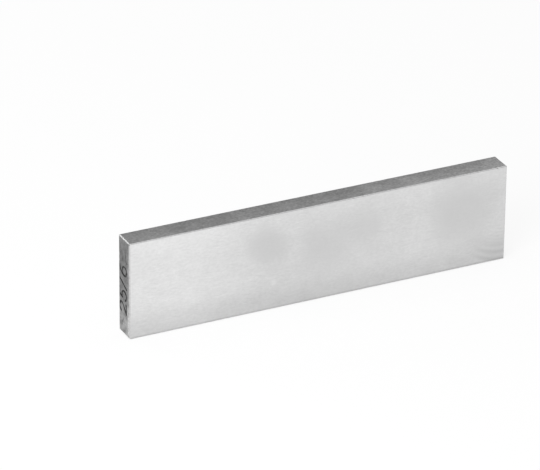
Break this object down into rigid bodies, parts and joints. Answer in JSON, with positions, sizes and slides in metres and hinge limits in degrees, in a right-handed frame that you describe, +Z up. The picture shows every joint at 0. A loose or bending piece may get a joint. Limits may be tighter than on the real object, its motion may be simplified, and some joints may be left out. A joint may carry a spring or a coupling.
{
  "type": "precision parallel",
  "caption": "Solid ground bar of hardened steel that stands on its narrow face and holds work level at a known height; flat, square, parallel faces with lightly broken edges.",
  "frame": {"origin": "centre of the lower narrow face, the face that the bar stands on", "axes": "+X along the bar's length, +Y through its thickness, +Z up its height"},
  "size_m": [0.1, 0.006, 0.025],
  "materials": {
    "ground_tool_steel": "surface-ground hardened tool steel, satin side faces, finer lengthwise grain on the narrow faces, duller end faces"
  },
  "bodies": {
    "root": {"parallel_bar": "ground_tool_steel"}
  },
  "joints": []
}
